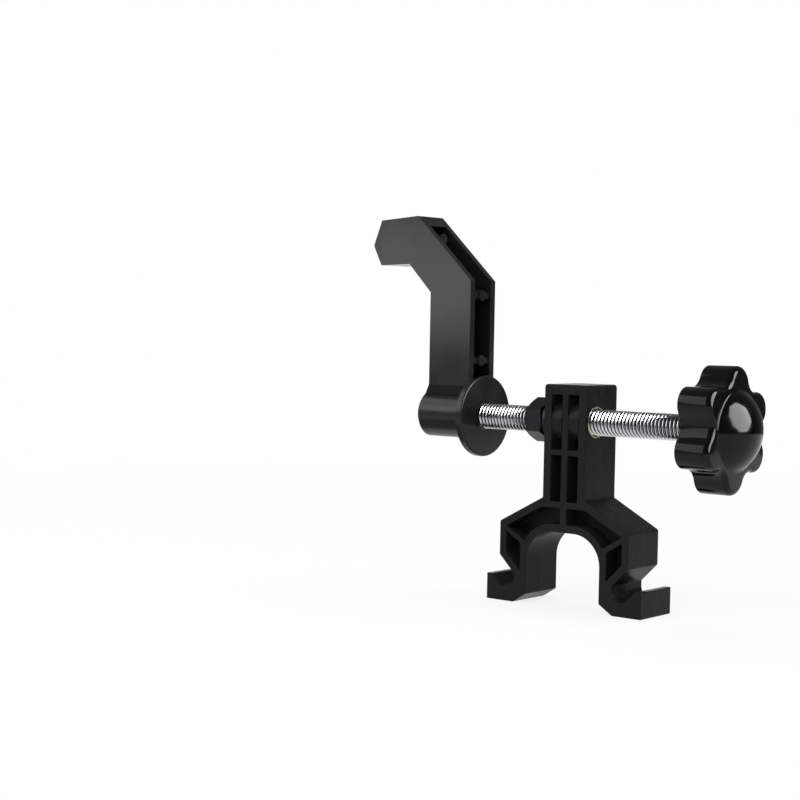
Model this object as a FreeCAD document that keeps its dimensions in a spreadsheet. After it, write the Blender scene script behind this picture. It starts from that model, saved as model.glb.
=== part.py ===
import FreeCAD, Part
import math
import os
import Sketcher

# Clamp-on wheel truing gauge, in millimetres.
# Row frame: the origin is the middle of the flat crown of the saddle notch, on the bracket's middle plane;
# +X runs along the screw towards the knob, +Y to the rear and +Z up.
# Pieces on the screw are drawn about their own X axis and placed on it by axis_offset and axis_height.

LOBES = 6
HUB_RIBS = 12

doc = FreeCAD.newDocument("TruingGauge")
sheet = doc.addObject("Spreadsheet::Sheet", "Sizes")

SIZES = [
    # bracket: outline
    ("bracket_depth", 17.0, "front to rear"),
    ("column_half", 7.6, "half width of the upright column"),
    ("column_round", 1.0, "rounding of the column's top corners"),
    ("shoulder_top", 10.45, "height where the shoulder leaves the column"),
    ("shoulder_low", 1.85, "height where the shoulder meets the flank"),
    ("shoulder_round", 0.9, "rounding between shoulder and flank"),
    ("flank_half", 23.7, "half width over the flanks"),
    ("flank_low", 8.75, "flank's lower end below the crown"),
    ("slot_inner", 18.2, "inner wall of the band slot"),
    ("slot_neck", 1.75, "straight part of the slot's inner wall"),
    ("slot_round", 3.0, "radius of the slot's bottom"),
    ("lip_inner", 26.3, "inner corner of the hook's lip"),
    ("foot_half", 28.45, "half width over the feet"),
    ("foot_thick", 4.3, "foot below the slot's bottom"),
    ("foot_inner", 18.3, "inner end of the flat underside"),
    ("foot_lead", 3.0, "height of the lead-in beside the notch"),
    # bracket: notch
    ("notch_half", 13.5, "half width of the saddle notch"),
    ("haunch_round", 9.5, "radius of the notch's upper corners"),
    # bracket: ribs and pockets
    ("web", 4.0, "middle web between front and rear pockets"),
    ("wall", 2.4, "outer walls of the lower part"),
    ("column_wall", 2.65, "side walls of the column"),
    ("top_wall", 3.1, "wall above the upper pockets"),
    ("rib_half", 1.15, "half thickness of the centre rib"),
    ("mid_rib_top", 25.4, "upper face of the cross rib"),
    ("mid_rib", 1.7, "thickness of the cross rib"),
    ("sill_top", 9.4, "upper face of the sill rib"),
    ("sill_rib", 1.9, "thickness of the sill rib"),
    ("brace", 1.6, "thickness of the slanted brace"),
    ("brace_deg", 60.0, "place of the brace's foot round the haunch, from the vertical"),
    ("brace_inset", 0.1, "brace's head inside the side wall's inner face"),
    # screw line
    ("axis_height", 34.0, "screw axis above the crown"),
    ("column_head", 11.4, "top of the column above the screw axis"),
    ("axis_offset", 2.3, "screw axis in front of the middle plane"),
    ("boss_r", 6.1, "boss round the insert, across the column's pockets"),
    ("boss_inset", 0.6, "boss ends inside the column's faces"),
    ("insert_r", 4.8, "outer radius of the threaded insert"),
    ("screw_r", 4.0, "crest radius of the M8 screw"),
    ("thread_play", 0.05, "radial play of the screw in its threads"),
    ("journal_r", 3.0, "journal that the arm turns on"),
    ("journal_play", 0.04, "radial play of the journal in the bush"),
    ("shoulder_x", 36.6, "screw shoulder left of the middle plane"),
    ("journal_end", 52.6, "left end of the journal"),
    ("clip_groove_x", 50.9, "middle of the retaining groove"),
    ("clip_groove", 0.8, "width of the retaining groove"),
    ("clip_groove_r", 2.4, "radius at the bottom of the groove"),
    ("clip_thick", 0.7, "thickness of the retaining ring"),
    ("clip_r", 4.3, "outer radius of the retaining ring"),
    ("clip_gap", 3.6, "opening of the retaining ring"),
    ("screw_end", 56.6, "right end of the screw"),
    ("screw_lead", 0.6, "chamfer on the screw's end"),
    # nut and washer against the bracket
    ("lock_washer_r", 6.0, "outer radius of the lock washer"),
    ("lock_washer_hole", 4.3, "hole radius of the lock washer"),
    ("lock_washer_thick", 1.3, "thickness of the lock washer"),
    ("nut_flats", 12.0, "lock nut across its flats"),
    ("nut_thick", 6.5, "thickness of the lock nut"),
    ("nut_face_r", 5.3, "radius of the nut's face inside its chamfer"),
    ("nut_chamfer", 1.3, "length of the nut's corner chamfer"),
    # arm: outline about the screw axis
    ("arm_width", 13.0, "front to rear"),
    ("limb_right", 37.0, "right face of the upright limb"),
    ("limb_left", 53.3, "left face of the upright limb"),
    ("limb_foot", 9.6, "lower end of the full-width limb"),
    ("bend_outer", 43.2, "height of the lower outer bend"),
    ("bend_inner", 39.4, "height of the lower inner bend"),
    ("top_bend_x", 59.2, "upper outer bend"),
    ("top_bend_z", 64.2, "height of the upper outer bend"),
    ("under_bend_x", 62.45, "upper inner bend"),
    ("under_bend_z", 48.6, "height of the upper inner bend"),
    ("tip_base_x", 74.5, "root of the pyramid tip"),
    ("tip_top", 63.1, "top of the tip's root"),
    ("tip_low", 48.3, "underside of the tip's root"),
    ("tip_x", 83.0, "end of the pyramid tip"),
    ("tip_z", 55.2, "height of the tip"),
    ("tip_flat", 0.8, "side of the tip's small end flat"),
    ("neck_foot", 5.6, "height where the neck joins the hub"),
    ("neck_half", 4.4, "half width of the neck at the hub"),
    # arm: channel
    ("channel_half", 4.1, "half width of the channel"),
    ("channel_back", 2.4, "wall behind the channel"),
    ("channel_foot", 11.6, "lower end of the channel"),
    ("channel_head", 61.0, "upper end of the channel"),
    ("cross_rib", 1.9, "thickness of the channel's cross ribs"),
    ("cross_rib_low", 17.65, "height of the lower cross rib"),
    ("cross_rib_mid", 38.5, "height of the middle cross rib"),
    ("cross_rib_set", 0.5, "cross ribs below the channel's rim"),
    ("pad_r", 1.75, "radius of the round pads on the ribs"),
    ("slant_pad_x", 53.4, "place of the pad in the slanted part"),
    ("slant_pad_z", 56.8, "height of the pad in the slanted part"),
    # arm: hub
    ("hub_r", 7.5, "outer radius of the hub"),
    ("hub_left", 56.8, "left end of the hub"),
    ("flange_r", 13.0, "radius of the flange"),
    ("flange_face", 34.8, "right face of the flange"),
    ("flange_round", 0.5, "rounding of the flange's rim"),
    ("entry_play", 0.06, "radial play round the thrust washer"),
    ("thrust_seat", 37.4, "seat of the thrust washer"),
    ("thrust_r", 4.34, "outer radius of the thrust washer"),
    ("bush_r", 4.2, "outer radius of the hub's bush"),
    ("bush_left", 50.0, "left end of the bush"),
    ("cap_r", 5.6, "radius of the cap's spigot"),
    ("cap_inner", 53.4, "inner end of the cap's spigot"),
    ("cap_rim_r", 6.6, "radius of the cap's stepped rim"),
    ("cap_rim", 1.0, "thickness of the stepped rim"),
    ("cap_cone_r", 5.2, "radius at the foot of the cone"),
    ("cap_cone", 4.2, "length of the cone"),
    ("cap_nose_r", 1.2, "radius at the cone's end"),
    # knob
    ("lobe_tip", 18.7, "radius over the lobes"),
    ("lobe_round", 5.0, "rounding radius of a lobe"),
    ("lobe_lean", 4.1, "degrees by which the knob's top lobe leans to the rear"),
    ("valley", 14.5, "radius at the bottom of the valleys"),
    ("knob_rear", 44.8, "rear face of the knob"),
    ("knob_front", 55.8, "front face of the knob"),
    ("knob_front_round", 1.8, "rounding of the front rim"),
    ("knob_rear_round", 0.7, "rounding of the rear rim"),
    ("dome_margin", 0.15, "flat left between the rim's rounding and the dome's fillet"),
    ("dome_rise", 6.0, "height of the dome above the front face"),
    ("dome_foot_round", 0.6, "fillet round the dome's foot"),
    ("recess_r", 9.6, "radius of the rear recess"),
    ("recess_floor", 51.0, "floor of the rear recess"),
    ("boss_hub_r", 7.3, "radius of the knob's hub"),
    ("tooth_r", 8.3, "radius over the hub's ribs"),
    ("tooth_width", 1.1, "thickness of a hub rib"),
    ("tooth_start", 45.6, "rear end of the hub's ribs"),
    ("knob_insert_r", 5.2, "outer radius of the knob's insert"),
    ("knob_insert_end", 57.2, "inner end of the knob's insert"),
]

DERIVED = [
    # bracket outline
    ("flank_inner_low", "=flank_low + flank_half - slot_inner"),
    ("slot_mid", "=slot_inner + slot_round"),
    ("slot_drop", "=flank_inner_low + slot_neck"),
    ("foot_drop", "=slot_drop + slot_round + foot_thick"),
    ("slot_tangent", "=slot_round / sqrt(2)"),
    ("slot_tangent_x", "=slot_mid + slot_tangent"),
    ("slot_tangent_z", "=slot_drop + slot_tangent"),
    ("lip_drop", "=slot_tangent_z - (lip_inner - slot_tangent_x)"),
    ("lead_drop", "=foot_drop - foot_lead"),
    ("crown_half", "=notch_half - haunch_round"),
    # pockets
    ("pocket_out", "=column_half - column_wall"),
    ("column_top", "=axis_height + column_head"),
    ("pocket_top", "=column_top - top_wall"),
    ("mid_rib_low", "=mid_rib_top - mid_rib"),
    ("arch_top", "=sill_top - sill_rib"),
    ("shoulder_slope", "=(shoulder_top - shoulder_low) / (flank_half - column_half)"),
    ("shoulder_in", "=shoulder_top - wall * sqrt(1 + shoulder_slope * shoulder_slope)"),
    ("arch_corner", "=column_half + (shoulder_in - arch_top) / shoulder_slope"),
    ("brace_reach", "=flank_half - wall - brace_inset"),
    ("arch_head", "=shoulder_in - shoulder_slope * (brace_reach - column_half)"),
    ("haunch_out", "=haunch_round + wall"),
    ("arch_foot_x", "=crown_half + haunch_out * sin(brace_deg * 1deg)"),
    ("arch_foot_z", "=haunch_out * cos(brace_deg * 1deg) - haunch_round"),
    ("brace_slope", "=(arch_head - arch_foot_z) / (brace_reach - arch_foot_x)"),
    ("brace_low", "=arch_foot_z - brace * sqrt(1 + brace_slope * brace_slope)"),
    ("side_in", "=notch_half + wall"),
    ("side_out", "=flank_half - wall"),
    ("side_top_in", "=brace_low + brace_slope * (side_in - arch_foot_x)"),
    ("side_top_out", "=brace_low + brace_slope * (side_out - arch_foot_x)"),
    ("side_low_out", "=side_out - flank_half - flank_low + wall * sqrt(2)"),
    ("side_low_in", "=side_in - flank_half - flank_low + wall * sqrt(2)"),
    # screw line
    ("boss_length", "=2 * (column_half - boss_inset)"),
    ("insert_hole", "=screw_r + thread_play"),
    ("bush_hole", "=journal_r + journal_play"),
    ("entry_r", "=thrust_r + entry_play"),
    ("washer_hole", "=journal_r + thread_play"),
    ("clip_half_gap", "=clip_gap / 2"),
    ("clip_beyond", "=clip_r + 1"),
    ("clip_left", "=clip_groove_x + clip_groove / 2"),
    ("clip_right", "=clip_groove_x - clip_groove / 2"),
    ("washer_left", "=column_half + lock_washer_thick"),
    ("nut_left", "=washer_left + nut_thick"),
    ("nut_half", "=nut_flats / 2"),
    ("nut_corner", "=nut_flats / sqrt(3)"),
    ("nut_shoulder", "=nut_corner / 2"),
    ("nut_beyond", "=nut_corner + 1"),
    ("nut_rim_left", "=nut_left - nut_chamfer"),
    ("nut_rim_right", "=washer_left + nut_chamfer"),
    ("nut_hole", "=screw_r + thread_play"),
    # arm
    ("slant_run", "=under_bend_x - limb_left"),
    ("slant_rise", "=under_bend_z - bend_inner"),
    ("channel_wall", "=limb_left - channel_back"),
    ("channel_bend", "=bend_inner + channel_back * 0.4"),
    ("channel_top_x", "=channel_wall + slant_run / slant_rise * (channel_head - channel_bend)"),
    ("arm_half", "=arm_width / 2"),
    ("limb_clear", "=limb_right - 1"),
    ("bend_clear", "=bend_outer + 0.5"),
    ("channel_out_x", "=top_bend_x - (top_bend_z - channel_head) * (top_bend_x - limb_right)"
                      " / (top_bend_z - bend_outer) - 1.5"),
    ("rib_face", "=limb_right + cross_rib_set"),
    ("rib_low_foot", "=cross_rib_low - cross_rib / 2"),
    ("rib_low_head", "=cross_rib_low + cross_rib / 2"),
    ("rib_mid_foot", "=cross_rib_mid - cross_rib / 2"),
    ("rib_mid_head", "=cross_rib_mid + cross_rib / 2"),
    ("channel_depth", "=channel_wall - limb_right + 1"),
    ("slant_pad_depth", "=channel_top_x - slant_pad_x"),
    ("tip_flat_half", "=tip_flat / 2"),
    ("tip_flat_low", "=tip_z - tip_flat_half"),
    ("tip_flat_top", "=tip_z + tip_flat_half"),
    ("hub_beyond", "=hub_left + 1"),
    ("face_beyond", "=flange_face - 1"),
    ("cap_left", "=hub_left + cap_rim"),
    ("cap_end", "=cap_left + cap_cone"),
    # knob
    ("lobe_centre", "=lobe_tip - lobe_round"),
    ("valley_reach", "=valley - lobe_round"),
    ("valley_centre", "=(lobe_centre * lobe_centre - valley_reach * valley_reach)"
                      " / (2 * (lobe_centre * cos(30deg) - valley_reach))"),
    ("valley_round", "=valley_centre - valley"),
    ("touch_share", "=lobe_round / (lobe_round + valley_round)"),
    ("touch_x", "=lobe_centre + touch_share * (valley_centre * cos(30deg) - lobe_centre)"),
    ("touch_y", "=touch_share * valley_centre * sin(30deg)"),
    ("knob_middle", "=(knob_rear + knob_front) / 2 + 1"),
    ("dome_r", "=valley - knob_front_round - dome_margin - dome_foot_round"),
    ("dome_top", "=knob_front + dome_rise"),
    ("dome_ball", "=(dome_r * dome_r + dome_rise * dome_rise) / (2 * dome_rise)"),
    ("dome_centre", "=dome_top - dome_ball"),
    ("rear_beyond", "=knob_rear - 1"),
    ("tooth_half", "=tooth_width / 2"),
    ("tooth_root", "=boss_hub_r - 0.4"),
]


def fill_sheet():
    """Write every size with its meaning, then the values that follow from them."""
    row = 1
    for alias, number, meaning in SIZES:
        sheet.set("A%d" % row, alias)
        sheet.set("B%d" % row, str(number))
        sheet.set("C%d" % row, meaning)
        sheet.setAlias("B%d" % row, alias)
        row += 1
    for alias, formula in DERIVED:
        sheet.set("A%d" % row, alias)
        sheet.set("B%d" % row, formula)
        sheet.setAlias("B%d" % row, alias)
        row += 1
    doc.recompute()


def size(term):
    """Number behind an alias, with a leading minus allowed, or the plain number itself."""
    if isinstance(term, (int, float)):
        return float(term)
    sign = -1.0 if term.startswith("-") else 1.0
    return sign * float(sheet.get(term.lstrip("-")))


def link(term):
    """Expression text for the same kind of term."""
    if isinstance(term, (int, float)):
        return str(term)
    return ("-Sizes." if term.startswith("-") else "Sizes.") + term.lstrip("-")


def new_body(name, on_axis=True):
    """Body labelled like its file; pieces on the screw line are placed on the screw's axis."""
    body = doc.addObject("PartDesign::Body", name)
    body.Label = name
    if on_axis:
        body.setExpression("Placement.Base.y", "-Sizes.axis_offset")
        body.setExpression("Placement.Base.z", "Sizes.axis_height")
    return body


def new_sketch(body, name, role, offset=None):
    """Sketch on one of the body's own planes, moved along its normal by a named size."""
    sketch = body.newObject("Sketcher::SketchObject", name)
    plane = [item for item in body.Origin.OriginFeatures if item.Role == role][0]
    sketch.AttachmentSupport = (plane, [""])
    sketch.MapMode = "FlatFace"
    if offset is not None:
        sketch.setExpression("AttachmentOffset.Base.z", link(offset))
    return sketch


def pin(sketch, geometry, end, term_x, term_y):
    """Hold one end of an edge at two named distances from the sketch's origin."""
    for kind, term in (("DistanceX", term_x), ("DistanceY", term_y)):
        index = sketch.addConstraint(Sketcher.Constraint(kind, -1, 1, geometry, end, size(term)))
        sketch.setExpression("Constraints[%d]" % index, link(term))


def vector(term_x, term_y):
    return FreeCAD.Vector(size(term_x), size(term_y), 0)


def add_arc(sketch, centre, start, finish, radius, turn_way):
    """Arc of a named radius from start to finish, anticlockwise where turn_way is 1 and clockwise at -1;
    returns its edge and which of its ends come first and last along the path."""
    first, last = (start, finish) if turn_way > 0 else (finish, start)
    circle = Part.Circle(centre, FreeCAD.Vector(0, 0, 1), size(radius))
    angle_first = math.atan2(first.y - centre.y, first.x - centre.x)
    angle_last = math.atan2(last.y - centre.y, last.x - centre.x)
    edge = sketch.addGeometry(Part.ArcOfCircle(circle, angle_first, angle_last))
    index = sketch.addConstraint(Sketcher.Constraint("Radius", edge, size(radius)))
    sketch.setExpression("Constraints[%d]" % index, link(radius))
    return (edge, 1, 2) if turn_way > 0 else (edge, 2, 1)


def join_ends(sketch, ends):
    """Join each edge's last end to the next edge's first end, all the way round."""
    for index, (edge, _, end) in enumerate(ends):
        follower, follower_begin, _ = ends[(index + 1) % len(ends)]
        sketch.addConstraint(Sketcher.Constraint("Coincident", edge, end, follower, follower_begin))


def add_loop(sketch, corners, arcs=None):
    """Closed loop through named corners; arcs maps a corner's index to (centre x, centre y, radius, turn)
    for the edge that leaves it, where turn is +1 for anticlockwise."""
    arcs = arcs or {}
    ends = []
    for index, corner in enumerate(corners):
        start = vector(*corner)
        finish = vector(*corners[(index + 1) % len(corners)])
        if index in arcs:
            centre_x, centre_y, radius, turn_way = arcs[index]
            ends.append(add_arc(sketch, vector(centre_x, centre_y), start, finish, radius, turn_way))
        else:
            ends.append((sketch.addGeometry(Part.LineSegment(start, finish)), 1, 2))
    join_ends(sketch, ends)
    for (edge, begin, _), corner in zip(ends, corners):
        pin(sketch, edge, begin, *corner)


def add_circle(sketch, radius, term_x=0, term_y=0):
    """Circle of a named radius about a named point."""
    circle = Part.Circle(vector(term_x, term_y), FreeCAD.Vector(0, 0, 1), size(radius))
    edge = sketch.addGeometry(circle)
    index = sketch.addConstraint(Sketcher.Constraint("Radius", edge, size(radius)))
    sketch.setExpression("Constraints[%d]" % index, link(radius))
    if term_x == 0 and term_y == 0:
        sketch.addConstraint(Sketcher.Constraint("Coincident", edge, 3, -1, 1))
    else:
        pin(sketch, edge, 3, term_x, term_y)


def flip(corners):
    """The same corners on the other side of the sketch's vertical axis."""
    mirrored = []
    for term_x, term_y in corners:
        if isinstance(term_x, str):
            term_x = term_x[1:] if term_x.startswith("-") else "-" + term_x
        else:
            term_x = -term_x
        mirrored.append((term_x, term_y))
    return mirrored


def flip_arcs(arcs):
    """Arcs of flipped corners turn the other way about a flipped centre."""
    return {index: (flip([(arc[0], arc[1])])[0][0], arc[1], arc[2], -arc[3]) for index, arc in arcs.items()}


def feature(body, kind, name, sketch):
    """Feature of a body made from one of its sketches."""
    made = body.newObject("PartDesign::" + kind, name)
    made.Profile = sketch
    return made


def pad(body, name, sketch, length, both_ways=False, backwards=False):
    made = feature(body, "Pad", name, sketch)
    made.SideType = "Symmetric" if both_ways else "One side"
    made.Reversed = backwards
    made.setExpression("Length", length)
    return made


def pocket_through(body, name, sketch):
    """Cut a sketch right through the body both ways."""
    made = feature(body, "Pocket", name, sketch)
    made.SideType = "Symmetric"
    made.Type = "ThroughAll"
    return made


def turn(body, kind, name, sketch, axis="H_Axis"):
    """Revolution or groove of a sketch all round one of its own axes."""
    made = feature(body, kind, name, sketch)
    made.ReferenceAxis = (sketch, [axis])
    made.Angle = 360
    return made


def round_edges(body, name, base, radius, wanted):
    """Fillet the base's edges whose middle point passes the test."""
    doc.recompute()
    chosen = []
    for number, edge in enumerate(base.Shape.Edges, 1):
        middle = edge.valueAt((edge.FirstParameter + edge.LastParameter) / 2)
        if wanted(edge, middle):
            chosen.append("Edge%d" % number)
    if not chosen:
        raise RuntimeError("no edges for " + name)
    made = body.newObject("PartDesign::Fillet", name)
    made.Base = (base, chosen)
    made.setExpression("Radius", link(radius))
    return made


def near(number, target, room=0.02):
    return abs(number - target) < room


def ring_body(name, outer, inner, left, right):
    """Plain ring or tube about the screw axis between two named positions along it."""
    body = new_body(name)
    sketch = new_sketch(body, name + "_profile", "XZ_Plane")
    add_loop(sketch, [(left, inner), (right, inner), (right, outer), (left, outer)])
    turn(body, "Revolution", name + "_turned", sketch)
    return body


def build_bracket():
    """Ribbed casting: full-depth walls and ribs, a middle web, the screw's boss and its bore."""
    body = new_body("bracket", on_axis=False)

    # Half outline from the top of the column down to the crown, right side.
    half = [
        ("column_half", "column_top"),
        ("column_half", "shoulder_top"),
        ("flank_half", "shoulder_low"),
        ("flank_half", "-flank_low"),
        ("slot_inner", "-flank_inner_low"),
        ("slot_inner", "-slot_drop"),
        ("slot_tangent_x", "-slot_tangent_z"),
        ("lip_inner", "-lip_drop"),
        ("foot_half", "-lip_drop"),
        ("foot_half", "-foot_drop"),
        ("foot_inner", "-foot_drop"),
        ("notch_half", "-lead_drop"),
        ("notch_half", "-haunch_round"),
        ("crown_half", 0),
    ]
    half_arcs = {
        5: ("slot_mid", "-slot_drop", "slot_round", 1),
        12: ("crown_half", "-haunch_round", "haunch_round", 1),
    }
    count = len(half)
    outline = half + flip(half)[::-1]
    outline_arcs = dict(half_arcs)
    for index, arc in flip_arcs(half_arcs).items():
        outline_arcs[2 * count - 2 - index] = (arc[0], arc[1], arc[2], -arc[3])

    upper = [("rib_half", "mid_rib_top"), ("pocket_out", "mid_rib_top"),
             ("pocket_out", "pocket_top"), ("rib_half", "pocket_top")]
    lower = [("rib_half", "sill_top"), ("pocket_out", "sill_top"),
             ("pocket_out", "mid_rib_low"), ("rib_half", "mid_rib_low")]
    arch = [("rib_half", "wall"), ("crown_half", "wall"), ("arch_foot_x", "arch_foot_z"),
            ("brace_reach", "arch_head"), ("arch_corner", "arch_top"), ("rib_half", "arch_top")]
    arch_arcs = {1: ("crown_half", "-haunch_round", "haunch_out", -1)}
    side = [("side_in", "side_low_in"), ("side_out", "side_low_out"),
            ("side_out", "side_top_out"), ("side_in", "side_top_in")]

    walls_sketch = new_sketch(body, "walls_outline", "XZ_Plane")
    add_loop(walls_sketch, outline, outline_arcs)
    for corners in (upper, lower, side):
        add_loop(walls_sketch, corners)
        add_loop(walls_sketch, flip(corners))
    add_loop(walls_sketch, arch, arch_arcs)
    add_loop(walls_sketch, flip(arch), flip_arcs(arch_arcs))
    pad(body, "walls", walls_sketch, "Sizes.bracket_depth", both_ways=True)

    web_sketch = new_sketch(body, "web_outline", "XZ_Plane")
    add_loop(web_sketch, outline, outline_arcs)
    pad(body, "middle_web", web_sketch, "Sizes.web", both_ways=True)

    boss_sketch = new_sketch(body, "boss_circle", "YZ_Plane")
    add_circle(boss_sketch, "boss_r", "-axis_offset", "axis_height")
    boss = pad(body, "screw_boss", boss_sketch, "Sizes.boss_length", both_ways=True)

    top = size("column_top")
    flank = size("flank_half")
    shoulder = size("shoulder_low")
    corners = round_edges(
        body, "column_corners", boss, "column_round",
        lambda edge, middle: near(middle.z, top) and near(abs(middle.x), size("column_half")))
    round_edges(
        body, "shoulder_corners", corners, "shoulder_round",
        lambda edge, middle: near(middle.z, shoulder) and near(abs(middle.x), flank))

    bore_sketch = new_sketch(body, "insert_bore_circle", "YZ_Plane")
    add_circle(bore_sketch, "insert_r", "-axis_offset", "axis_height")
    pocket_through(body, "insert_bore", bore_sketch)
    return body


def build_screw():
    """Screw at its crest radius, stepped down to the arm's journal with a groove for its ring."""
    body = new_body("screw")
    sketch = new_sketch(body, "screw_profile", "XZ_Plane")
    add_loop(sketch, [
        ("-journal_end", 0),
        ("screw_end", 0),
        ("screw_end", "screw_r"),
        ("-shoulder_x", "screw_r"),
        ("-shoulder_x", "journal_r"),
        ("-clip_right", "journal_r"),
        ("-clip_right", "clip_groove_r"),
        ("-clip_left", "clip_groove_r"),
        ("-clip_left", "journal_r"),
        ("-journal_end", "journal_r"),
    ])
    turned = turn(body, "Revolution", "screw_turned", sketch)
    doc.recompute()
    ends = []
    for number, edge in enumerate(turned.Shape.Edges, 1):
        box = edge.BoundBox
        flat = box.XLength < 0.01
        if flat and (near(box.XMin, size("screw_end")) or near(box.XMin, -size("journal_end"))):
            ends.append("Edge%d" % number)
    lead = body.newObject("PartDesign::Chamfer", "screw_leads")
    lead.Base = (turned, ends)
    lead.setExpression("Size", "Sizes.screw_lead")
    return body


def build_retaining_ring():
    """Open ring that springs into the journal's groove."""
    body = new_body("retaining_ring")
    sketch = new_sketch(body, "retaining_ring_circles", "YZ_Plane", "-clip_groove_x")
    add_circle(sketch, "clip_r")
    add_circle(sketch, "clip_groove_r")
    pad(body, "retaining_ring_disc", sketch, "Sizes.clip_thick", both_ways=True)
    gap_sketch = new_sketch(body, "retaining_ring_gap", "YZ_Plane", "-clip_groove_x")
    add_loop(gap_sketch, [("-clip_half_gap", 0), ("clip_half_gap", 0),
                          ("clip_half_gap", "clip_beyond"), ("-clip_half_gap", "clip_beyond")])
    pocket_through(body, "retaining_ring_opening", gap_sketch)
    return body


def build_lock_nut():
    """Hexagon nut with a corner pointing down and chamfered corners."""
    body = new_body("lock_nut")
    sketch = new_sketch(body, "nut_hexagon", "YZ_Plane", "-nut_left")
    add_loop(sketch, [
        (0, "nut_corner"), ("-nut_half", "nut_shoulder"), ("-nut_half", "-nut_shoulder"),
        (0, "-nut_corner"), ("nut_half", "-nut_shoulder"), ("nut_half", "nut_shoulder"),
    ])
    pad(body, "nut_blank", sketch, "Sizes.nut_thick")
    chamfer_sketch = new_sketch(body, "nut_chamfer_profile", "XZ_Plane")
    add_loop(chamfer_sketch, [("-nut_left", "nut_face_r"), ("-nut_left", "nut_beyond"),
                              ("-nut_rim_left", "nut_beyond")])
    add_loop(chamfer_sketch, [("-washer_left", "nut_face_r"), ("-nut_rim_right", "nut_beyond"),
                              ("-washer_left", "nut_beyond")])
    turn(body, "Groove", "nut_chamfers", chamfer_sketch)
    hole_sketch = new_sketch(body, "nut_hole_circle", "YZ_Plane")
    add_circle(hole_sketch, "nut_hole")
    pocket_through(body, "nut_hole", hole_sketch)
    return body


def build_arm():
    """Cranked arm with a pyramid tip, an open channel with cross ribs, and its hub and flange."""
    body = new_body("arm")

    side_sketch = new_sketch(body, "arm_side", "XZ_Plane")
    add_loop(side_sketch, [
        ("-limb_right", "limb_foot"), ("-limb_right", "bend_outer"), ("-top_bend_x", "top_bend_z"),
        ("-tip_base_x", "tip_top"), ("-tip_base_x", "tip_low"), ("-under_bend_x", "under_bend_z"),
        ("-limb_left", "bend_inner"), ("-limb_left", "limb_foot"),
    ])
    pad(body, "arm_bar", side_sketch, "Sizes.arm_width", both_ways=True)

    tip_root = new_sketch(body, "tip_root", "YZ_Plane", "-tip_base_x")
    add_loop(tip_root, [("-arm_half", "tip_low"), ("arm_half", "tip_low"),
                        ("arm_half", "tip_top"), ("-arm_half", "tip_top")])
    tip_end = new_sketch(body, "tip_end", "YZ_Plane", "-tip_x")
    add_loop(tip_end, [("-tip_flat_half", "tip_flat_low"), ("tip_flat_half", "tip_flat_low"),
                       ("tip_flat_half", "tip_flat_top"), ("-tip_flat_half", "tip_flat_top")])
    tip = feature(body, "AdditiveLoft", "pyramid_tip", tip_root)
    tip.Sections = [(tip_end, [""])]
    tip.Ruled = True

    neck_top = new_sketch(body, "neck_top", "XY_Plane", "limb_foot")
    add_loop(neck_top, [("-limb_left", "-arm_half"), ("-limb_right", "-arm_half"),
                        ("-limb_right", "arm_half"), ("-limb_left", "arm_half")])
    neck_low = new_sketch(body, "neck_low", "XY_Plane", "neck_foot")
    add_loop(neck_low, [("-hub_left", "-neck_half"), ("-limb_right", "-neck_half"),
                        ("-limb_right", "neck_half"), ("-hub_left", "neck_half")])
    neck = feature(body, "AdditiveLoft", "neck", neck_top)
    neck.Sections = [(neck_low, [""])]
    neck.Ruled = True

    hub_sketch = new_sketch(body, "hub_profile", "XZ_Plane")
    add_loop(hub_sketch, [("-hub_left", 0), ("-flange_face", 0), ("-flange_face", "flange_r"),
                          ("-limb_right", "flange_r"), ("-limb_right", "hub_r"), ("-hub_left", "hub_r")])
    hub = turn(body, "Revolution", "hub_and_flange", hub_sketch)
    rim = round_edges(
        body, "flange_rim", hub, "flange_round",
        lambda edge, middle: edge.BoundBox.XLength < 0.01
        and near(math.hypot(middle.y, middle.z), size("flange_r"))
        and near(middle.x, -size("flange_face")))

    channel_sketch = new_sketch(body, "channel_side", "XZ_Plane")
    add_loop(channel_sketch, [
        ("-limb_clear", "channel_foot"), ("-limb_clear", "bend_clear"), ("-channel_out_x", "channel_head"),
        ("-channel_top_x", "channel_head"), ("-channel_wall", "channel_bend"),
        ("-channel_wall", "channel_foot"),
    ])
    channel = feature(body, "Pocket", "channel", channel_sketch)
    channel.SideType = "Symmetric"
    channel.setExpression("Length", "2 * Sizes.channel_half")

    rib_sketch = new_sketch(body, "cross_ribs_side", "XZ_Plane")
    for low, high in (("rib_low_foot", "rib_low_head"), ("rib_mid_foot", "rib_mid_head")):
        add_loop(rib_sketch, [("-rib_face", low), ("-rib_face", high),
                              ("-limb_left", high), ("-limb_left", low)])
    pad(body, "cross_ribs", rib_sketch, "Sizes.arm_width - 2", both_ways=True)

    pad_sketch = new_sketch(body, "rib_pads", "YZ_Plane", "-limb_right")
    for height in ("cross_rib_low", "cross_rib_mid"):
        add_circle(pad_sketch, "pad_r", 0, height)
    pad(body, "round_pads", pad_sketch, "Sizes.channel_depth", backwards=True)

    slant_sketch = new_sketch(body, "slant_pad", "YZ_Plane", "-slant_pad_x")
    add_circle(slant_sketch, "pad_r", 0, "slant_pad_z")
    pad(body, "slant_post", slant_sketch, "Sizes.slant_pad_depth", backwards=True)

    bore_sketch = new_sketch(body, "hub_bore_profile", "XZ_Plane")
    add_loop(bore_sketch, [
        ("-hub_beyond", 0), ("-face_beyond", 0),
        ("-face_beyond", "entry_r"), ("-thrust_seat", "entry_r"),
        ("-thrust_seat", "bush_r"), ("-bush_left", "bush_r"),
        ("-bush_left", "cap_r"), ("-hub_beyond", "cap_r"),
    ])
    turn(body, "Groove", "hub_bore", bore_sketch)
    return body


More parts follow.
